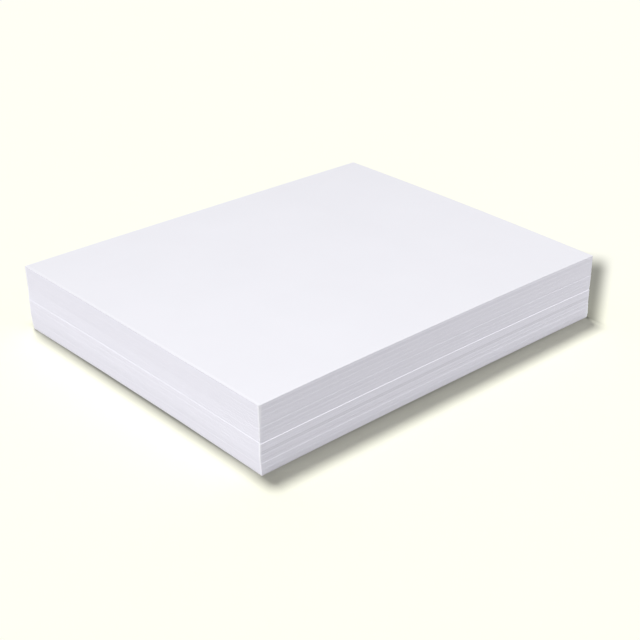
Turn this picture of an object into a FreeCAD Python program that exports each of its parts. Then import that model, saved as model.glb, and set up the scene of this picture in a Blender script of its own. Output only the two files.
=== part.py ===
import FreeCAD, Part
import os

# A ream of plain letter-size paper: 500 loose sheets in one stack, with no wrapper.
# The sheets cling together in five lifts, each one solid, which rest face on face.
# Within a lift, thin plies of sheets lie a little out of line and make the ribbed sides.
# Millimetres. X runs along the long edge, Y along the short edge and Z up.
# The origin is in the middle of the face that the ream rests on.

OUT = "parts"
SHEET = "Sizes"
GOLDEN_ANGLE = 137.508  # degrees from one ply's shift to the next, so that none repeats

# Name, value in millimetres or counts, and what it is.
STACK_SIZES = [
    ("sheet_length", 279.4, "long edge of a sheet"),
    ("sheet_width", 215.9, "short edge of a sheet"),
    ("sheet_caliper", 0.086, "thickness of one sheet"),
    ("ply_sheets", 14, "sheets that keep together as one ply"),
    ("ply_shift", 0.12, "how far a ply lies off the middle of its lift"),
    ("left_wear_radius", 2.6, "rounding of the lowest ply's bumped corner at -X, +Y"),
    ("left_wear_plies", 4, "plies over which that rounding dies out"),
    ("right_wear_radius", 1.2, "rounding of the lowest ply's bumped corner at +X, -Y"),
    ("right_wear_plies", 2, "plies over which that rounding dies out"),
]

# The lifts from the bottom up. The shift is where the middle of the lift lies, the lean is
# how far its top sheet lies from its lowest one, and the turn is in degrees about Z.
LIFTS = [
    {"name": "bottom_lift", "sheets": 118, "shift": (0.55, -0.60), "lean": (-1.0, 0.4), "turn": -0.03},
    {"name": "lower_lift", "sheets": 60, "shift": (0.05, -0.12), "lean": (-0.1, 0.0), "turn": 0.08},
    {"name": "proud_lift", "sheets": 54, "shift": (-0.35, -0.20), "lean": (-0.1, -0.1), "turn": 0.06},
    {"name": "middle_lift", "sheets": 108, "shift": (0.40, 0.60), "lean": (-0.8, -0.4), "turn": 0.03},
    {"name": "top_lift", "sheets": 160, "shift": (-0.60, 0.10), "lean": (-1.2, -0.6), "turn": 0.0},
]


def size_rows():
    """Every driving size with its note: those of the stack, then those of each lift."""
    rows = list(STACK_SIZES)
    for lift in LIFTS:
        name = lift["name"]
        rows.append((name + "_sheets", lift["sheets"], "number of sheets in it"))
        rows.append((name + "_shift_x", lift["shift"][0], "where its middle lies along X"))
        rows.append((name + "_shift_y", lift["shift"][1], "where its middle lies along Y"))
        rows.append((name + "_lean_x", lift["lean"][0], "its top sheet from its lowest, along X"))
        rows.append((name + "_lean_y", lift["lean"][1], "its top sheet from its lowest, along Y"))
        rows.append((name + "_turn", lift["turn"], "its turn about Z, in degrees"))
    return rows


def make_sheet(doc):
    """The spreadsheet of driving sizes, one row each: name, value, note."""
    sheet = doc.addObject("Spreadsheet::Sheet", SHEET)
    for row, (alias, value, note) in enumerate(size_rows(), start=1):
        sheet.set(f"A{row}", alias)
        sheet.set(f"B{row}", str(value))
        sheet.set(f"C{row}", note)
        sheet.setAlias(f"B{row}", alias)
    doc.recompute()
    return sheet


def cell(alias):
    """The way an expression names a driving size."""
    return f"{SHEET}.{alias}"


def height_of(names):
    """The expression for the height of these lifts laid on each other, 0 for none."""
    counts = " + ".join(["0"] + [cell(name + "_sheets") for name in names])
    return f"{cell('sheet_caliper')} * ({counts})"


def make_ply(doc, name, number, count, turn_number):
    """One ply of a lift: a box of the sheet's outline at its own height, shift and share of the lean."""
    ply = doc.addObject("Part::Box", f"{name}_ply_{number + 1}")
    ply_height = f"({height_of([name])}) / {count}"
    angle = f"{turn_number * GOLDEN_ANGLE} deg"
    along = (number + 0.5) / count - 0.5
    ply.setExpression("Length", cell("sheet_length"))
    ply.setExpression("Width", cell("sheet_width"))
    ply.setExpression("Height", ply_height)
    ply.setExpression(
        "Placement.Base.x",
        f"{along} * {cell(name + '_lean_x')} + {cell('ply_shift')} * cos({angle})"
        f" - {cell('sheet_length')} / 2",
    )
    ply.setExpression(
        "Placement.Base.y",
        f"{along} * {cell(name + '_lean_y')} + {cell('ply_shift')} * sin({angle})"
        f" - {cell('sheet_width')} / 2",
    )
    ply.setExpression("Placement.Base.z", f"{number} * {ply_height}")
    return ply


def upright_edge(shape, x_side, y_side):
    """The number of the box's upright edge on these sides, -1 or 1 for each of X and Y."""
    middle = shape.BoundBox.Center
    for number, edge in enumerate(shape.Edges, start=1):
        start, end = edge.Vertexes[0].Point, edge.Vertexes[1].Point
        upright = start.sub(end).cross(FreeCAD.Vector(0, 0, 1)).Length < 0.001
        point = start.sub(middle)
        if upright and point.x * x_side > 0 and point.y * y_side > 0:
            return number
    raise RuntimeError("the ply has no such corner")


def wear_corners(doc, sheet, ply, number):
    """The ply with its bumped corners rounded, most at the bottom of the stack, or the bare ply."""
    doc.recompute()
    edges = []
    for side, x_side, y_side in (("left", -1, 1), ("right", 1, -1)):
        worn_plies = round(getattr(sheet, side + "_wear_plies"))
        if number < worn_plies:
            radius = getattr(sheet, side + "_wear_radius") * (1 - number / worn_plies)
            edges.append((upright_edge(ply.Shape, x_side, y_side), radius, radius))
    if not edges:
        return ply
    worn = doc.addObject("Part::Fillet", ply.Name + "_worn")
    worn.Base = ply
    worn.Edges = edges
    return worn


def make_lift(doc, sheet, index, first_ply):
    """One lift: its plies fused into one solid, set on the lifts below it."""
    name = LIFTS[index]["name"]
    below = [lift["name"] for lift in LIFTS[:index]]
    count = max(1, round(getattr(sheet, name + "_sheets") / sheet.ply_sheets))
    plies = [make_ply(doc, name, number, count, first_ply + number) for number in range(count)]
    if not below:
        plies = [wear_corners(doc, sheet, ply, number) for number, ply in enumerate(plies)]
    lift = doc.addObject("Part::MultiFuse", name)
    lift.Label = name
    lift.Shapes = plies
    lift.Refine = True
    lift.setExpression("Placement.Base.x", cell(name + "_shift_x"))
    lift.setExpression("Placement.Base.y", cell(name + "_shift_y"))
    lift.setExpression("Placement.Base.z", height_of(below))
    lift.setExpression("Placement.Rotation.Angle", cell(name + "_turn"))
    return lift, count


def make_ream(doc):
    """All five lifts, from the bottom up."""
    sheet = make_sheet(doc)
    lifts = []
    plies_so_far = 0
    for index in range(len(LIFTS)):
        lift, count = make_lift(doc, sheet, index, plies_so_far)
        lifts.append(lift)
        plies_so_far += count
    doc.recompute()
    return lifts


def check(doc, lifts):
    """Stops the build if an object failed or a lift isn't one sound solid."""
    for item in doc.Objects:
        if "Invalid" in item.State or "Error" in item.State:
            raise RuntimeError(f"{item.Name} failed: {item.State}")
    for lift in lifts:
        if lift.Shape.isNull() or not lift.Shape.isValid() or len(lift.Shape.Solids) != 1:
            raise RuntimeError(f"{lift.Label} isn't one valid solid")


def main():
    doc = FreeCAD.newDocument("Ream")
    lifts = make_ream(doc)
    check(doc, lifts)
    os.makedirs(OUT, exist_ok=True)
    for lift in lifts:
        lift.Shape.exportStep(os.path.join(OUT, lift.Label + ".step"))
        box = lift.Shape.BoundBox
        print(
            f"{lift.Label}: x {box.XMin:.2f} to {box.XMax:.2f}, y {box.YMin:.2f} to {box.YMax:.2f}, "
            f"z {box.ZMin:.3f} to {box.ZMax:.3f}, volume {lift.Shape.Volume:.0f}"
        )


main()
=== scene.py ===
import math

import bmesh
import bpy
import numpy as np
from mathutils import Matrix, Vector, noise


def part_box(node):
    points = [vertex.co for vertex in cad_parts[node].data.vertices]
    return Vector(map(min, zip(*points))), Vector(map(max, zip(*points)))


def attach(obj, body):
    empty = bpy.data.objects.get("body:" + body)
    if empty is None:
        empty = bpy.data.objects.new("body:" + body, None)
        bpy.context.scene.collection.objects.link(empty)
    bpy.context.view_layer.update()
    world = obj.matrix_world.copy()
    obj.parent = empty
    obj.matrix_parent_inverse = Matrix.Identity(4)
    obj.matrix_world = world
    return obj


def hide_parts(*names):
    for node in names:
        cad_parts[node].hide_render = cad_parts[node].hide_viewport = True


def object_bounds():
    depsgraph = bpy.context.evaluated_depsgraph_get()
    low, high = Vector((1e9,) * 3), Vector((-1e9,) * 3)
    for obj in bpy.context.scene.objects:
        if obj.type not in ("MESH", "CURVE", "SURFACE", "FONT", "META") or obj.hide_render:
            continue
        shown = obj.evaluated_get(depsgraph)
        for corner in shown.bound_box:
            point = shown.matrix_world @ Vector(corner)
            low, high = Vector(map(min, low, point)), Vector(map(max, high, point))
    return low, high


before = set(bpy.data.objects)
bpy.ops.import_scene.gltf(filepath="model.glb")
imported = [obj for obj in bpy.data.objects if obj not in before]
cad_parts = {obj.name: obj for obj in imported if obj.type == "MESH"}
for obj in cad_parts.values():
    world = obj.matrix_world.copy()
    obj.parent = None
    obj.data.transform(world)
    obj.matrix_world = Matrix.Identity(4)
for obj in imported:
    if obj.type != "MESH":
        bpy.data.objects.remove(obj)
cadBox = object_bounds()

# A ream of plain paper, sheet by sheet: 500 of them in the five lifts of the frame
mm = 0.001

# one sheet, and how neatly the sheets lie
sheetLook = {
    "length": 279.4 * mm,
    "width": 215.9 * mm,
    "airShare": 0.05,           # of each sheet's share of the height
    "cornerRadius": 0.15 * mm,
    "cornerSteps": 2,
    "longCuts": 7,              # across the sheet, so that it can bow and its edges can waver
    "shortCuts": 2,
    "sheetsPerPly": 14,         # sheets that keep together, as in the frame
    "plyShift": 0.025 * mm,
    "plyTurn": 137.508,         # degrees from one ply's shift to the next
    "stray": 0.012 * mm,        # single sheets out of line
    "waver": 0.03 * mm,         # edges out of straight
    "waverLength": 70 * mm,
    "waverSheets": 9,
    "waverSpots": (7, 19),      # where in the noise the sides along X and along Y read theirs
    "toneSpread": 0.008,        # chance in the tone of the long edges, a few sheets at a time
    "toneSheets": 5,
    "firstSeed": 40,            # of the chance in where the sheets of a lift lie
    "toneSeed": 100,            # added to it for their tones
}

# shares of a length, or of a normal, that tell a corner or a side from the rest
nearCorner = 0.49
atCorner = 1.01
atEdge = 0.5
facing = 0.5


def deselectAll():
    bpy.ops.object.select_all(action="DESELECT")


def makeActive(piece):
    deselectAll()
    piece.select_set(True)
    bpy.context.view_layer.objects.active = piece


def selectEdges(piece, wanted):
    # wanted looks at the way that an edge runs and at its middle
    bpy.ops.mesh.select_all(action="DESELECT")
    mesh = bmesh.from_edit_mesh(piece.data)
    for edge in mesh.edges:
        start, end = edge.verts[0].co, edge.verts[1].co
        if wanted(end - start, (start + end) / 2):
            edge.select_set(True)
    bmesh.update_edit_mesh(piece.data)


def modelSheet(name, thickness):
    # a thin slab, cut across both ways so that it can bow, with its four corners rounded
    look = sheetLook
    deselectAll()
    bpy.ops.mesh.primitive_cube_add(size=1, location=(0, 0, thickness / 2))
    sheet = bpy.context.object
    sheet.name = name
    bpy.ops.transform.resize(value=(look["length"], look["width"], thickness))
    bpy.ops.object.transform_apply(location=True, rotation=False, scale=True)
    longRun = look["width"] / 2
    nearX, nearY = look["length"] * nearCorner, look["width"] * nearCorner
    bpy.ops.object.mode_set(mode="EDIT")
    bpy.ops.mesh.select_mode(type="EDGE")
    selectEdges(sheet, lambda run, middle: abs(run.x) > longRun)
    bpy.ops.mesh.subdivide(number_cuts=look["longCuts"])
    selectEdges(sheet, lambda run, middle: abs(run.y) > longRun)
    bpy.ops.mesh.subdivide(number_cuts=look["shortCuts"])
    selectEdges(
        sheet, lambda run, middle: run.z and abs(middle.x) > nearX and abs(middle.y) > nearY
    )
    bpy.ops.mesh.bevel(offset=look["cornerRadius"], segments=look["cornerSteps"], affect="EDGES")
    bpy.ops.mesh.select_all(action="SELECT")
    bpy.ops.mesh.normals_make_consistent(inside=False)
    bpy.ops.object.mode_set(mode="OBJECT")
    return sheet


# the top sheet, a finer mesh that lies in soft waves
topSheetLook = {
    "cellsLong": 56,
    "cellsShort": 44,
    "wave": 0.08 * mm,
    "waveLength": 90 * mm,
}


def modelTopSheet(name, thickness):
    look = topSheetLook
    deselectAll()
    bpy.ops.mesh.primitive_grid_add(
        x_subdivisions=look["cellsLong"], y_subdivisions=look["cellsShort"], size=1
    )
    sheet = bpy.context.object
    sheet.name = name
    bpy.ops.transform.resize(value=(sheetLook["length"], sheetLook["width"], 1))
    bpy.ops.object.transform_apply(location=True, rotation=False, scale=True)
    bpy.ops.object.mode_set(mode="EDIT")
    bpy.ops.mesh.select_all(action="SELECT")
    bpy.ops.mesh.extrude_region_move(TRANSFORM_OT_translate={"value": (0, 0, thickness)})
    bpy.ops.mesh.select_all(action="SELECT")
    bpy.ops.mesh.normals_make_consistent(inside=False)
    bpy.ops.object.mode_set(mode="OBJECT")
    return sheet


def stackUp(sheet, count, pitch):
    makeActive(sheet)
    stack = sheet.modifiers.new("stack", "ARRAY")
    stack.use_relative_offset = False
    stack.use_constant_offset = True
    stack.constant_offset_displace = (0, 0, pitch)
    stack.count = count
    bpy.ops.object.modifier_apply(modifier=stack.name)


# the lifts from the bottom up: shift is the lift from its place in the frame, lean is its top sheet
# from its lowest one, both along X and Y in mm, and turn is in degrees
# creeps are sheets out of line: the first of them, how many, and the shift of the first and last in mm
# tones and shades are sheets with darker or paler long edges: the first, how many, and the share of the
# colour; the darker ones are mostly painted shade in the grooves, under the ledges and toward the foot
liftLook = {
    "bottom_lift": {
        "sheets": 118, "shift": (0.30, 0.16), "lean": (-1.0, 0.05), "turn": 0.0,
        "creeps": [(88, 30, (0, 0.06), (0, 0.10))],
        "tonesAndShades": [
            (0, 80, -0.008), (0, 58, -0.025), (30, 14, -0.01), (98, 8, -0.02), (106, 12, -0.07),
        ],
    },
    "lower_lift": {
        "sheets": 60, "shift": (0.15, -0.18), "lean": (-0.1, 0.0), "turn": 0.02,
        "creeps": [(0, 8, (0, 0.08), (0, 0)), (29, 28, (0, 0.12), (0, 0))],
        "tonesAndShades": [(10, 12, -0.02), (32, 25, -0.085)],
    },
    "proud_lift": {
        "sheets": 54, "shift": (0.40, 0.03), "lean": (-0.1, 0.06), "turn": 0.015,
        "creeps": [(18, 8, (0, 0.04), (0, 0)), (49, 5, (0, 0.36), (0, 0.36))],
        "tonesAndShades": [(4, 8, -0.012), (24, 9, -0.02), (38, 10, 0.02), (49, 3, -0.05)],
    },
    "middle_lift": {
        "sheets": 108, "shift": (-0.40, -0.52), "lean": (-0.3, -0.15), "turn": -0.005,
        "creeps": [
            (0, 3, (-0.15, 0), (-0.15, 0)), (74, 12, (0, 0.06), (0, 0)),
            (103, 5, (0, 0.03), (0, 0.03)),
        ],
        "tonesAndShades": [
            (0, 5, -0.035), (14, 8, 0.01), (30, 7, -0.01), (76, 10, -0.022), (98, 10, -0.02),
        ],
    },
    "top_lift": {
        "sheets": 160, "shift": (-0.08, -0.20), "lean": (-1.04, -0.2), "turn": 0.0,
        "creeps": [(0, 8, (0, 0.06), (0, 0)), (79, 20, (0, 0.04), (0, 0))],
        "tonesAndShades": [
            (4, 7, -0.02), (36, 9, -0.01), (60, 30, -0.015), (92, 18, -0.022), (115, 14, -0.012),
            (118, 22, -0.022), (130, 11, -0.02),
        ],
    },
}


def sheetShifts(lift, firstPly, seed):
    # where the middle of each sheet lies, along X and Y: the lean, its ply, the creeps and a little chance
    look = sheetLook
    count = lift["sheets"]
    plies = max(1, round(count / look["sheetsPerPly"]))
    chance = np.random.RandomState(seed)
    share = (np.arange(count) + 0.5) / count
    ply = np.floor(share * plies)
    angle = np.radians((firstPly + ply) * look["plyTurn"])
    lean = np.array(lift["lean"]) * mm
    shifts = (share[:, None] - 0.5) * lean
    shifts = shifts + look["plyShift"] * np.stack([np.cos(angle), np.sin(angle)], axis=1)
    shifts = shifts + look["stray"] * chance.uniform(-1, 1, (count, 2))
    for first, number, start, end in lift["creeps"]:
        shifts[first:first + number] += np.linspace(start, end, number) * mm
    return shifts, plies


# corners of the lowest sheets that were knocked round: side along X and Y, radius, height where it ends
wornCorners = [
    {"side": (-1, 1), "radius": 1.2 * mm, "height": 5.5 * mm},
    {"side": (1, -1), "radius": 1.2 * mm, "height": 3.0 * mm},
]


def roundCorner(points, corner, low):
    # the points of one worn corner move out along its arc, most on the lowest sheet
    sideX, sideY = corner["side"]
    small = sheetLook["cornerRadius"]
    edgeX, edgeY = sheetLook["length"] / 2, sheetLook["width"] / 2
    nearX = points[..., 0] * sideX > edgeX - small * atCorner
    nearY = points[..., 1] * sideY > edgeY - small * atCorner
    height = (points[..., 2].mean(axis=1) - low) / corner["height"]
    radius = np.maximum(small, corner["radius"] * np.clip(1 - height, 0, 1))
    grow = np.where(nearX & nearY, (radius / small)[:, None], 1)
    points[..., 0] = sideX * edgeX + (points[..., 0] - sideX * edgeX) * grow
    points[..., 1] = sideY * edgeY + (points[..., 1] - sideY * edgeY) * grow


def waverEdges(points, start):
    # edges run out of straight by hairs, alike in neighbouring sheets
    look = sheetLook
    reachX = look["length"] / 2 - look["cornerRadius"] * atEdge
    reachY = look["width"] / 2 - look["cornerRadius"] * atEdge
    spotX, spotY = look["waverSpots"]
    for number, sheet in enumerate(points):
        across = (start + number) / look["waverSheets"]
        for point in sheet:
            x, y = point[0], point[1]
            if abs(x) > reachX:
                spot = Vector((y / look["waverLength"], across, math.copysign(spotX, x)))
                point[0] += math.copysign(look["waver"], x) * noise.noise(spot)
            if abs(y) > reachY:
                spot = Vector((x / look["waverLength"], across, math.copysign(spotY, y)))
                point[1] += math.copysign(look["waver"], y) * noise.noise(spot)


# air and a little curl: how much higher the stack is in the middle of each side than at the corners
stackLook = {
    # each side, as -1, 0 or 1 along X and Y
    "topBow": {(0, -1): 1.15 * mm, (0, 1): 0.30 * mm, (-1, 0): 0.25 * mm, (1, 0): 1.00 * mm},
    "footBow": {(0, -1): 0.85 * mm, (0, 1): 0.40 * mm, (-1, 0): 1.05 * mm, (1, 0): 0.40 * mm},
    "cornerLifts": {(1, -1): 0.9 * mm},
}


def bowAt(u, v, bows):
    # 0 at the corners, and the given height in the middle of each side
    height = 0
    for (sideX, sideY), bow in bows.items():
        along, toward = (u, v * sideY) if sideY else (v, u * sideX)
        height = height + bow * (1 - along * along) * ((1 + toward) / 2) ** 2
    return height


def settle(points, top):
    # the flat stack takes its slight bow, from the lowest sheet to the top
    look = stackLook
    u = np.clip(points[..., 0] / (sheetLook["length"] / 2), -1, 1)
    v = np.clip(points[..., 1] / (sheetLook["width"] / 2), -1, 1)
    share = points[..., 2] / top
    lifted = bowAt(u, v, look["topBow"])
    for (cornerX, cornerY), lift in look["cornerLifts"].items():
        lifted = lifted + lift * (1 + u * cornerX) * (1 + v * cornerY) / 4
    points[..., 2] += share * lifted + (1 - share) * bowAt(u, v, look["footBow"])


def setTonesAndShades(piece, lift, count, seed):
    # a share of the colour for the long cut edges of each sheet, which the edge material reads: random
    # tone, and painted shade under the ledges and toward the foot
    look = sheetLook
    groups = -(-count // look["toneSheets"])
    chance = np.random.RandomState(seed + look["toneSeed"])
    tonesAndShades = np.repeat(chance.uniform(-1, 1, groups), look["toneSheets"])[:count] * look["toneSpread"]
    for first, number, tone in lift["tonesAndShades"]:
        tonesAndShades[first:first + number] += tone
    faces = len(piece.data.polygons)
    normals = np.empty(faces * 3)
    piece.data.polygons.foreach_get("normal", normals)
    isLong = np.abs(normals.reshape(-1, 3)[:, 1]) > facing
    values = np.repeat(tonesAndShades, faces // count) * isLong
    piece.data.attributes.new("tone", "FLOAT", "FACE").data.foreach_set("value", values)


def readPoints(piece):
    points = np.empty(len(piece.data.vertices) * 3)
    piece.data.vertices.foreach_get("co", points)
    return points.reshape(-1, 3)


def writePoints(piece, points):
    piece.data.vertices.foreach_set("co", points.reshape(-1))
    piece.data.update()


def turnAndShift(points, turn, shiftX, shiftY):
    cosine, sine = math.cos(math.radians(turn)), math.sin(math.radians(turn))
    x, y = points[..., 0].copy(), points[..., 1].copy()
    points[..., 0] = x * cosine - y * sine + shiftX
    points[..., 1] = x * sine + y * cosine + shiftY


def paint(piece, face, edge):
    # broad faces get the first material, the cut rim the second
    piece.data.materials.clear()
    piece.data.materials.append(face)
    piece.data.materials.append(edge)
    for polygon in piece.data.polygons:
        polygon.material_index = 0 if abs(polygon.normal.z) > facing else 1


def makeLift(node, seed, start, firstPly, top):
    lift = liftLook[node]
    low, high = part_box(node)
    pitch = (high.z - low.z) / lift["sheets"]
    thickness = pitch * (1 - sheetLook["airShare"])
    middleX = (low.x + high.x) / 2 + lift["shift"][0] * mm
    middleY = (low.y + high.y) / 2 + lift["shift"][1] * mm
    isTop = node == "top_lift"
    count = lift["sheets"] - (1 if isTop else 0)
    shifts, plies = sheetShifts(lift, firstPly, seed)
    piece = modelSheet(node + "_sheets", thickness)
    stackUp(piece, count, pitch)
    setTonesAndShades(piece, lift, count, seed)
    points = readPoints(piece).reshape(count, -1, 3)
    points[..., 2] += low.z
    if node == "bottom_lift":
        for corner in wornCorners:
            roundCorner(points, corner, low.z)
    waverEdges(points, start)
    settle(points, top)
    points[..., :2] += shifts[:count, None, :]
    turnAndShift(points, lift["turn"], middleX, middleY)
    writePoints(piece, points)
    if isTop:
        sheet = modelTopSheet("top_sheet", thickness)
        points = readPoints(sheet)
        points[:, 2] += high.z - pitch
        wave = [noise.noise(Vector(point) / topSheetLook["waveLength"]) for point in points]
        points[:, 2] += topSheetLook["wave"] * (1 + np.array(wave))
        settle(points, top)
        points[:, :2] += shifts[-1]
        turnAndShift(points, lift["turn"], middleX, middleY)
        writePoints(sheet, points)
        makeActive(piece)
        sheet.select_set(True)
        bpy.ops.object.join()
    return piece, plies


def addNode(tree, kind, spot, **settings):
    node = tree.nodes.new(kind)
    node.location = spot
    for name, value in settings.items():
        setattr(node, name, value)
    return node


def addNoise(tree, spot, kind):
    noiseNode = addNode(tree, "ShaderNodeTexNoise", spot)
    noiseNode.inputs["Detail"].default_value, noiseNode.inputs["Roughness"].default_value = kind
    return noiseNode


def setSpan(node, span):
    # the values that a Map Range node starts and ends at
    node.inputs["From Min"].default_value, node.inputs["From Max"].default_value = span


# colours are linear
paperLook = {
    "faceLight": (0.867, 0.864, 0.911, 1),
    "faceDark": (0.852, 0.849, 0.896, 1),
    # painted highlight along the rim of the broad faces
    "rimHighlight": (0.893, 0.890, 0.938, 1),
    "edgeLight": (0.880, 0.872, 0.930, 1),
    "edgeDark": (0.864, 0.856, 0.915, 1),
    # painted highlight at the corners of the cut edges
    "cornerHighlight": (0.955, 0.952, 0.985, 1),
    "roughness": 0.88,
    "specular": 0.25,
    "fibreScale": 2600,
    "cloudScale": 22,
    "cloudShare": 0.6,          # of the mottle, and the fibres are the rest
    "mottleSpan": (0.35, 0.65),     # of the noise, from dark to light
    "fibreBump": 0.012 * mm,
    "bumpStrength": 0.5,
    "lineScale": (22, 22, 1500),    # of the fine lines on the cut edges
    "lineSpan": (0.3, 0.7),
    "mottleShare": 0.25,        # on the cut edges, and the lines are the rest
    "fibreNoise": (4, 0.65),    # detail and roughness, as in the next two
    "cloudNoise": (3, 0.5),
    "lineNoise": (3, 0.7),
    "rimReach": 1.6 * mm,       # of the painted highlight along the rim of the broad faces
    "cornerReach": 1.6 * mm,    # of the painted highlight at the corners of the cut edges
}


def makeFibreGroup():
    # paper fibres close up, and the soft clouds that a sheet shows against the light
    group = bpy.data.node_groups.new("PaperFibre", "ShaderNodeTree")
    sockets = group.interface
    sockets.new_socket(name="Coordinates", in_out="INPUT", socket_type="NodeSocketVector")
    sockets.new_socket(name="Fibre Scale", in_out="INPUT", socket_type="NodeSocketFloat")
    sockets.new_socket(name="Cloud Scale", in_out="INPUT", socket_type="NodeSocketFloat")
    sockets.new_socket(name="Mottle", in_out="OUTPUT", socket_type="NodeSocketFloat")
    sockets.new_socket(name="Height", in_out="OUTPUT", socket_type="NodeSocketFloat")
    start = addNode(group, "NodeGroupInput", (-600, 0))
    end = addNode(group, "NodeGroupOutput", (500, 0))
    fibre = addNoise(group, (-300, 150), paperLook["fibreNoise"])
    cloud = addNoise(group, (-300, -150), paperLook["cloudNoise"])
    blend = addNode(group, "ShaderNodeMix", (0, 0), data_type="FLOAT")
    blend.inputs["Factor"].default_value = paperLook["cloudShare"]
    spread = addNode(group, "ShaderNodeMapRange", (250, 0))
    setSpan(spread, paperLook["mottleSpan"])
    link = group.links.new
    link(start.outputs["Coordinates"], fibre.inputs["Vector"])
    link(start.outputs["Coordinates"], cloud.inputs["Vector"])
    link(start.outputs["Fibre Scale"], fibre.inputs["Scale"])
    link(start.outputs["Cloud Scale"], cloud.inputs["Scale"])
    link(fibre.outputs["Fac"], blend.inputs["A"])
    link(cloud.outputs["Fac"], blend.inputs["B"])
    link(blend.outputs["Result"], spread.inputs["Value"])
    link(spread.outputs["Result"], end.inputs["Mottle"])
    link(fibre.outputs["Fac"], end.inputs["Height"])
    return group


def makeNearRimGroup():
    # 1 at the sheet's own long and short edges, falling to 0 within the reach
    group = bpy.data.node_groups.new("NearRim", "ShaderNodeTree")
    sockets = group.interface
    sockets.new_socket(name="Coordinates", in_out="INPUT", socket_type="NodeSocketVector")
    sockets.new_socket(name="Reach", in_out="INPUT", socket_type="NodeSocketFloat")
    sockets.new_socket(name="At Short Edge", in_out="OUTPUT", socket_type="NodeSocketFloat")
    sockets.new_socket(name="At Long Edge", in_out="OUTPUT", socket_type="NodeSocketFloat")
    start = addNode(group, "NodeGroupInput", (-800, 0))
    end = addNode(group, "NodeGroupOutput", (500, 0))
    split = addNode(group, "ShaderNodeSeparateXYZ", (-600, 0))
    group.links.new(start.outputs["Coordinates"], split.inputs["Vector"])
    halves = [
        ("X", sheetLook["length"] / 2, "At Short Edge"),
        ("Y", sheetLook["width"] / 2, "At Long Edge"),
    ]
    for row, (axis, half, name) in enumerate(halves):
        side = addNode(group, "ShaderNodeMath", (-400, -200 * row), operation="ABSOLUTE")
        inner = addNode(group, "ShaderNodeMath", (-200, -200 * row), operation="SUBTRACT")
        inner.inputs[0].default_value = half
        spread = addNode(
            group, "ShaderNodeMapRange", (100, -200 * row), interpolation_type="SMOOTHSTEP"
        )
        spread.inputs["From Max"].default_value = half
        group.links.new(split.outputs[axis], side.inputs[0])
        group.links.new(start.outputs["Reach"], inner.inputs[1])
        group.links.new(side.outputs[0], spread.inputs["Value"])
        group.links.new(inner.outputs[0], spread.inputs["From Min"])
        group.links.new(spread.outputs["Result"], end.inputs[name])
    return group


def startMaterial(name):
    material = bpy.data.materials.new(name)
    material.use_nodes = True
    tree = material.node_tree
    tree.nodes.clear()
    shader = addNode(tree, "ShaderNodeBsdfPrincipled", (900, 0))
    shader.inputs["Roughness"].default_value = paperLook["roughness"]
    shader.inputs["Specular IOR Level"].default_value = paperLook["specular"]
    output = addNode(tree, "ShaderNodeOutputMaterial", (1200, 0))
    tree.links.new(shader.outputs["BSDF"], output.inputs["Surface"])
    place = addNode(tree, "ShaderNodeTexCoord", (-900, 0))
    return material, tree, shader, place


def addFibre(tree, place, shader, group):
    fibre = addNode(tree, "ShaderNodeGroup", (-500, 200), node_tree=group)
    fibre.inputs["Fibre Scale"].default_value = paperLook["fibreScale"]
    fibre.inputs["Cloud Scale"].default_value = paperLook["cloudScale"]
    bump = addNode(tree, "ShaderNodeBump", (600, -300))
    bump.inputs["Strength"].default_value = paperLook["bumpStrength"]
    bump.inputs["Distance"].default_value = paperLook["fibreBump"]
    tree.links.new(place.outputs["Object"], fibre.inputs["Coordinates"])
    tree.links.new(fibre.outputs["Height"], bump.inputs["Height"])
    tree.links.new(bump.outputs["Normal"], shader.inputs["Normal"])
    return fibre


def addColorMix(tree, spot, first, second):
    # inputs 6 and 7 and output 2 are its colours, which share their names with its other sockets
    mix = addNode(tree, "ShaderNodeMix", spot, data_type="RGBA")
    if first:
        mix.inputs[6].default_value = first
    if second:
        mix.inputs[7].default_value = second
    return mix


def makeFaceMaterial(fibreGroup, rimGroup):
    material, tree, shader, place = startMaterial("paper_face")
    fibre = addFibre(tree, place, shader, fibreGroup)
    rim = addNode(tree, "ShaderNodeGroup", (-500, -200), node_tree=rimGroup)
    rim.inputs["Reach"].default_value = paperLook["rimReach"]
    tone = addColorMix(tree, (0, 200), paperLook["faceDark"], paperLook["faceLight"])
    either = addNode(tree, "ShaderNodeMath", (0, -200), operation="MAXIMUM")
    # the rim of each broad face gets a painted highlight
    rimHighlighted = addColorMix(tree, (400, 100), None, paperLook["rimHighlight"])
    link = tree.links.new
    link(place.outputs["Object"], rim.inputs["Coordinates"])
    link(fibre.outputs["Mottle"], tone.inputs[0])
    link(rim.outputs["At Short Edge"], either.inputs[0])
    link(rim.outputs["At Long Edge"], either.inputs[1])
    link(either.outputs[0], rimHighlighted.inputs[0])
    link(tone.outputs[2], rimHighlighted.inputs[6])
    link(rimHighlighted.outputs[2], shader.inputs["Base Color"])
    return material


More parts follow.
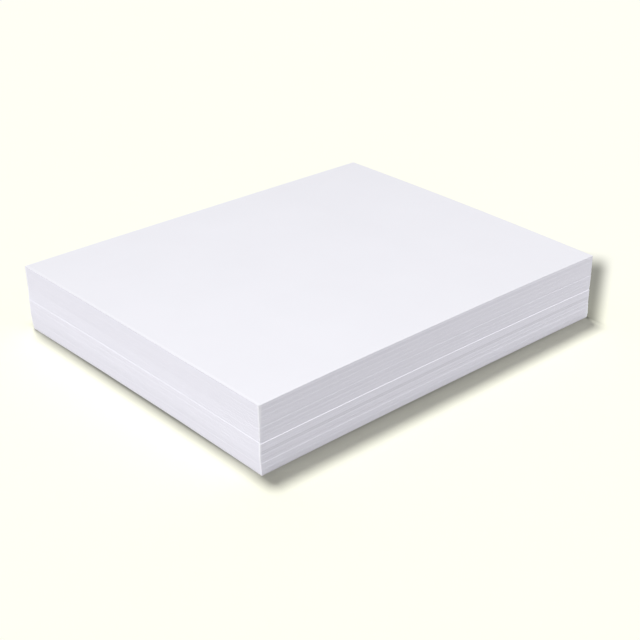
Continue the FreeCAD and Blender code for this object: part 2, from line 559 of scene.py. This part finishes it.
def makeEdgeMaterial(fibreGroup, rimGroup):
    # the cut rims of many sheets: fine lines along them, the sheets' own tones with painted shade in some
    # bands, and a painted highlight at the corners
    material, tree, shader, place = startMaterial("cut_edge")
    fibre = addFibre(tree, place, shader, fibreGroup)
    rim = addNode(tree, "ShaderNodeGroup", (-500, -200), node_tree=rimGroup)
    rim.inputs["Reach"].default_value = paperLook["cornerReach"]
    flatten = addNode(tree, "ShaderNodeMapping", (-500, 600))
    flatten.inputs["Scale"].default_value = paperLook["lineScale"]
    lines = addNoise(tree, (-250, 600), paperLook["lineNoise"])
    lines.inputs["Scale"].default_value = 1
    spread = addNode(tree, "ShaderNodeMapRange", (0, 600))
    setSpan(spread, paperLook["lineSpan"])
    both = addNode(tree, "ShaderNodeMix", (200, 400), data_type="FLOAT")
    both.inputs["Factor"].default_value = paperLook["mottleShare"]
    tone = addColorMix(tree, (400, 300), paperLook["edgeDark"], paperLook["edgeLight"])
    toned = addNode(tree, "ShaderNodeVectorMath", (500, 450), operation="SCALE")
    # the sheets' random tone, with the painted shade of the bands in liftLook
    own = addNode(tree, "ShaderNodeAttribute", (100, 650), attribute_name="tone")
    share = addNode(tree, "ShaderNodeMath", (300, 650), operation="ADD")
    share.inputs[1].default_value = 1
    # where both rim masks meet, the corners of the cut edges get a painted highlight
    corner = addNode(tree, "ShaderNodeMath", (0, -200), operation="MULTIPLY")
    cornerHighlighted = addColorMix(tree, (650, 150), None, paperLook["cornerHighlight"])
    link = tree.links.new
    link(place.outputs["Object"], rim.inputs["Coordinates"])
    link(place.outputs["Object"], flatten.inputs["Vector"])
    link(flatten.outputs["Vector"], lines.inputs["Vector"])
    link(lines.outputs["Fac"], spread.inputs["Value"])
    link(spread.outputs["Result"], both.inputs["A"])
    link(fibre.outputs["Mottle"], both.inputs["B"])
    link(both.outputs["Result"], tone.inputs[0])
    link(rim.outputs["At Short Edge"], corner.inputs[0])
    link(rim.outputs["At Long Edge"], corner.inputs[1])
    link(corner.outputs[0], cornerHighlighted.inputs[0])
    link(own.outputs["Fac"], share.inputs[0])
    link(tone.outputs[2], toned.inputs[0])
    link(share.outputs[0], toned.inputs["Scale"])
    link(toned.outputs["Vector"], cornerHighlighted.inputs[6])
    link(cornerHighlighted.outputs[2], shader.inputs["Base Color"])
    return material


def addFade(tree, spot, value, outside, inside):
    # 0 outside, 1 inside
    fade = addNode(tree, "ShaderNodeMapRange", spot, interpolation_type="SMOOTHSTEP")
    setSpan(fade, (min(outside, inside), max(outside, inside)))
    fade.inputs["To Min"].default_value = 0 if outside < inside else 1
    fade.inputs["To Max"].default_value = 1 if outside < inside else 0
    tree.links.new(value, fade.inputs["Value"])
    return fade.outputs["Result"]


def addProduct(tree, spot, first, second):
    product = addNode(tree, "ShaderNodeMath", spot, operation="MULTIPLY")
    tree.links.new(first, product.inputs[0])
    tree.links.new(second, product.inputs[1])
    return product.outputs[0]


floorLook = {
    "size": 12,
    "gap": 0.02 * mm,           # below the lowest sheet
    "seen": (1.01, 1.01, 0.913),            # the colour that the camera sees
    "bounce": (0.895, 0.890, 0.905, 1),     # and the one that lights the paper from below
    # the floor darkens close to the paper
    "contactReach": 12 * mm,
    "contactSamples": 8,
    "leftSide": (-140.5 * mm, -136.5 * mm),     # along X, where the left's shades end and the others begin
    "contactShades": (0.92, 0.72),              # at the short edge on the left, and elsewhere
    "contactOpenness": (0.5, 1),                # of the floor, where the shade is full and where it ends
    "footShades": (0.90, 0.35),                 # the same two for the light that the floor gives back
    "footOpenness": (0.5, 0.65),
    # share of its blue that the floor loses at the paper, which throws as much on it, and how far that goes
    "paperGlow": 0.075,
    "glowReach": 38 * mm,
}


def addFloorColor(tree, coordinates):
    # the floor's colour, with less blue close to the paper
    # Z of the unit vector from the paper's outline is 1 there and falls with the way from it
    look = floorLook
    half = (sheetLook["length"] / 2, sheetLook["width"] / 2, -look["glowReach"])
    steps = [("ABSOLUTE", None), ("SUBTRACT", half), ("MAXIMUM", (0, 0, 0)), ("NORMALIZE", None)]
    value = coordinates
    for column, (operation, other) in enumerate(steps):
        step = addNode(tree, "ShaderNodeVectorMath", (-1100 + 180 * column, 700), operation=operation)
        tree.links.new(value, step.inputs[0])
        if other:
            step.inputs[1].default_value = other
        value = step.outputs["Vector"]
    split = addNode(tree, "ShaderNodeSeparateXYZ", (-380, 700))
    tree.links.new(value, split.inputs["Vector"])
    near = addProduct(tree, (-200, 700), split.outputs["Z"], split.outputs["Z"])
    even = addNode(tree, "ShaderNodeMapRange", (0, 700))
    red, green, blue = look["seen"]
    even.inputs["To Min"].default_value = blue
    even.inputs["To Max"].default_value = blue * (1 - look["paperGlow"])
    tree.links.new(near, even.inputs["Value"])
    join = addNode(tree, "ShaderNodeCombineXYZ", (200, 700))
    join.inputs["X"].default_value = red
    join.inputs["Y"].default_value = green
    tree.links.new(even.outputs["Result"], join.inputs["Z"])
    return join.outputs["Vector"]


def addSeen(tree, spot):
    # 1 for what the camera sees, also by way of gloss or glass
    path = addNode(tree, "ShaderNodeLightPath", spot)
    sight = addNode(tree, "ShaderNodeMath", (spot[0] + 200, spot[1]), operation="MAXIMUM")
    either = addNode(tree, "ShaderNodeMath", (spot[0] + 400, spot[1]), operation="MAXIMUM")
    tree.links.new(path.outputs["Is Camera Ray"], sight.inputs[0])
    tree.links.new(path.outputs["Is Glossy Ray"], sight.inputs[1])
    tree.links.new(sight.outputs[0], either.inputs[0])
    tree.links.new(path.outputs["Is Transmission Ray"], either.inputs[1])
    return either.outputs[0]


# a soft shade that starts at the right corner and runs away from it over the floor
sideShade = {
    "corner": (140.6 * mm, -108.4 * mm, 0),
    "turn": 32.9,               # degrees from the long edge
    "shade": 0.30,
    "start": (137.0 * mm, 140.9 * mm),      # along X, from no shade to full
    "end": (108 * mm, 72 * mm),             # from the corner, the way it runs
    "front": (-13.9 * mm, -1.5 * mm),       # and to the side
}


def addSideShade(tree, coordinates, acrossX):
    # 1 outside, and the side shade's own value inside
    look = sideShade
    turned = addNode(tree, "ShaderNodeMapping", (-1100, -700), vector_type="TEXTURE")
    turned.inputs["Location"].default_value = look["corner"]
    turned.inputs["Rotation"].default_value = (0, 0, math.radians(look["turn"]))
    tree.links.new(coordinates, turned.inputs["Vector"])
    split = addNode(tree, "ShaderNodeSeparateXYZ", (-900, -700))
    tree.links.new(turned.outputs["Vector"], split.inputs["Vector"])
    start = addFade(tree, (-700, -600), acrossX, *look["start"])
    end = addFade(tree, (-700, -850), split.outputs["X"], *look["end"])
    front = addFade(tree, (-700, -1100), split.outputs["Y"], *look["front"])
    inside = addProduct(tree, (-300, -800), addProduct(tree, (-500, -700), start, end), front)
    shade = addNode(tree, "ShaderNodeMapRange", (-100, -800))
    shade.inputs["To Min"].default_value = 1
    shade.inputs["To Max"].default_value = look["shade"]
    tree.links.new(inside, shade.inputs["Value"])
    return shade.outputs["Result"]


def addNearShade(tree, spot, notLeft, openness, shades, span):
    # the shade right at the paper, from the left's to the other sides', and 1 where the floor lies open
    darkest = addNode(tree, "ShaderNodeMapRange", (spot[0] - 200, spot[1]))
    darkest.inputs["To Min"].default_value = shades[0]
    darkest.inputs["To Max"].default_value = shades[1]
    shade = addNode(tree, "ShaderNodeMapRange", spot)
    setSpan(shade, span)
    tree.links.new(notLeft, darkest.inputs["Value"])
    tree.links.new(darkest.outputs["Result"], shade.inputs["To Min"])
    tree.links.new(openness, shade.inputs["Value"])
    return shade.outputs["Result"]


def makeFloor():
    # white and even for the paper's light, ivory to the camera, both darker close to the paper
    look = floorLook
    deselectAll()
    bpy.ops.mesh.primitive_plane_add(size=look["size"], location=(0, 0, -look["gap"]))
    floor = bpy.context.object
    floor.name = "floor"
    material = bpy.data.materials.new("pale_floor")
    material.use_nodes = True
    tree = material.node_tree
    tree.nodes.clear()
    ivory = addNode(tree, "ShaderNodeBsdfDiffuse", (200, 0))
    even = addNode(tree, "ShaderNodeEmission", (200, -300))
    even.inputs["Color"].default_value = look["bounce"]
    either = addNode(tree, "ShaderNodeMixShader", (450, 0))
    output = addNode(tree, "ShaderNodeOutputMaterial", (650, 0))
    near = addNode(tree, "ShaderNodeAmbientOcclusion", (-900, 100), samples=look["contactSamples"])
    near.inputs["Distance"].default_value = look["contactReach"]
    openness = near.outputs["AO"]
    place = addNode(tree, "ShaderNodeTexCoord", (-1300, -300))
    split = addNode(tree, "ShaderNodeSeparateXYZ", (-1100, -300))
    tree.links.new(place.outputs["Object"], split.inputs["Vector"])
    notLeft = addFade(tree, (-900, -300), split.outputs["X"], *look["leftSide"])
    contact = addNearShade(
        tree, (-500, 0), notLeft, openness, look["contactShades"], look["contactOpenness"]
    )
    foot = addNearShade(tree, (-500, -350), notLeft, openness, look["footShades"], look["footOpenness"])
    seen = addNode(tree, "ShaderNodeVectorMath", (0, 0), operation="SCALE")
    tree.links.new(addFloorColor(tree, place.outputs["Object"]), seen.inputs[0])
    side = addSideShade(tree, place.outputs["Object"], split.outputs["X"])
    tree.links.new(addProduct(tree, (-200, -50), contact, side), seen.inputs["Scale"])
    tree.links.new(seen.outputs["Vector"], ivory.inputs["Color"])
    tree.links.new(foot, even.inputs["Strength"])
    tree.links.new(addSeen(tree, (-200, 400)), either.inputs[0])
    tree.links.new(even.outputs[0], either.inputs[1])
    tree.links.new(ivory.outputs[0], either.inputs[2])
    tree.links.new(either.outputs[0], output.inputs["Surface"])
    material.cycles.emission_sampling = "NONE"
    floor.data.materials.append(material)
    return floor


lightLook = {
    "skyColor": (0.980, 0.975, 1.0, 1),
    "skyStrength": 0.25,
    "backdrop": (1.0, 1.0, 0.913, 1),
    # where each is from, its strength and angle, and whether it lights the paper or the floor
    "suns": [
        {
            "name": "key_light", "from": (-0.56, -0.11, 1.0),
            "strength": 2.29, "angle": 12, "lights": "paper",
        },
        {
            "name": "shadow_light", "from": (0.045, 0.34, 1.0),
            "strength": 2.50, "angle": 14, "lights": "floor",
        },
    ],
    # round lamps that face the origin and light only the paper
    "lamps": [
        {"name": "front_lamp", "at": (-0.26, -0.14, 0.50), "size": 0.20, "power": 0.40},
        {"name": "side_lamp", "at": (0.50, -0.42, 0.16), "size": 0.30, "power": 0.50},
    ],
}


def makeLights(lit):
    # lit gives the pieces that each light reaches: the paper's lights leave the floor even
    look = lightLook
    world = bpy.data.worlds.new("studio")
    bpy.context.scene.world = world
    world.use_nodes = True
    tree = world.node_tree
    tree.nodes.clear()
    sky = addNode(tree, "ShaderNodeBackground", (-200, 100))
    sky.inputs["Color"].default_value = look["skyColor"]
    sky.inputs["Strength"].default_value = look["skyStrength"]
    backdrop = addNode(tree, "ShaderNodeBackground", (-200, -100))
    backdrop.inputs["Color"].default_value = look["backdrop"]
    mix = addNode(tree, "ShaderNodeMixShader", (100, 0))
    output = addNode(tree, "ShaderNodeOutputWorld", (300, 0))
    tree.links.new(addSeen(tree, (-500, 300)), mix.inputs[0])
    tree.links.new(sky.outputs[0], mix.inputs[1])
    tree.links.new(backdrop.outputs[0], mix.inputs[2])
    tree.links.new(mix.outputs[0], output.inputs["Surface"])

    for light in look["suns"]:
        sun = bpy.data.objects.new(light["name"], bpy.data.lights.new(light["name"], "SUN"))
        sun.data.energy = light["strength"]
        sun.data.angle = math.radians(light["angle"])
        sun.rotation_mode = "QUATERNION"
        sun.rotation_quaternion = Vector(light["from"]).to_track_quat("Z", "Y")
        sun.light_linking.receiver_collection = lit[light["lights"]]
        bpy.context.scene.collection.objects.link(sun)

    for light in look["lamps"]:
        lamp = bpy.data.objects.new(light["name"], bpy.data.lights.new(light["name"], "AREA"))
        lamp.data.shape = "DISK"
        lamp.data.size = light["size"]
        lamp.data.energy = light["power"]
        lamp.location = light["at"]
        lamp.rotation_mode = "QUATERNION"
        lamp.rotation_quaternion = Vector(light["at"]).to_track_quat("Z", "Y")
        lamp.light_linking.receiver_collection = lit["paper"]
        bpy.context.scene.collection.objects.link(lamp)


# angles in degrees
cameraLook = {
    "azimuth": -44.111,
    "elevation": 27.396,
    "roll": 1.802,
    "distance": 854.5 * mm,
    "aim": (4.68 * mm, -0.48 * mm, 0.415 * mm),
    "lens": 75.58,
    "nearest": 10 * mm,         # that it sees
}


def makeCamera():
    look = cameraLook
    azimuth, elevation, roll = (math.radians(look[name]) for name in ("azimuth", "elevation", "roll"))
    back = Vector((
        math.sin(azimuth) * math.cos(elevation),
        -math.cos(azimuth) * math.cos(elevation),
        math.sin(elevation),
    ))
    level = Vector((math.cos(azimuth), math.sin(azimuth), 0))
    upright = back.cross(level)
    right = level * math.cos(roll) + upright * math.sin(roll)
    up = upright * math.cos(roll) - level * math.sin(roll)
    camera = bpy.data.objects.new("camera", bpy.data.cameras.new("camera"))
    camera.data.lens = look["lens"]
    camera.data.clip_start = look["nearest"]
    turned = Matrix((right, up, back)).transposed().to_4x4()
    camera.matrix_world = Matrix.Translation(Vector(look["aim"]) + back * look["distance"]) @ turned
    bpy.context.scene.collection.objects.link(camera)
    bpy.context.scene.camera = camera


fibreGroup = makeFibreGroup()
rimGroup = makeNearRimGroup()
faceMaterial = makeFaceMaterial(fibreGroup, rimGroup)
edgeMaterial = makeEdgeMaterial(fibreGroup, rimGroup)
print("materials made")

topOfStack = cadBox[1].z
sheetsSoFar = 0
pliesSoFar = 0
lit = {"paper": bpy.data.collections.new("paper_lit"), "floor": bpy.data.collections.new("floor_lit")}
for index, nodeName in enumerate(liftLook):
    seed = sheetLook["firstSeed"] + index
    piece, plies = makeLift(nodeName, seed, sheetsSoFar, pliesSoFar, topOfStack)
    paint(piece, faceMaterial, edgeMaterial)
    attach(piece, "root")
    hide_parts(nodeName)
    lit["paper"].objects.link(piece)
    sheetsSoFar += liftLook[nodeName]["sheets"]
    pliesSoFar += plies
    print(f"{piece.name}: {liftLook[nodeName]['sheets']} sheets, {len(piece.data.polygons)} faces")

lit["floor"].objects.link(makeFloor())
makeLights(lit)
makeCamera()
bpy.context.scene.view_settings.view_transform = "Standard"
print("floor, lights and camera set")
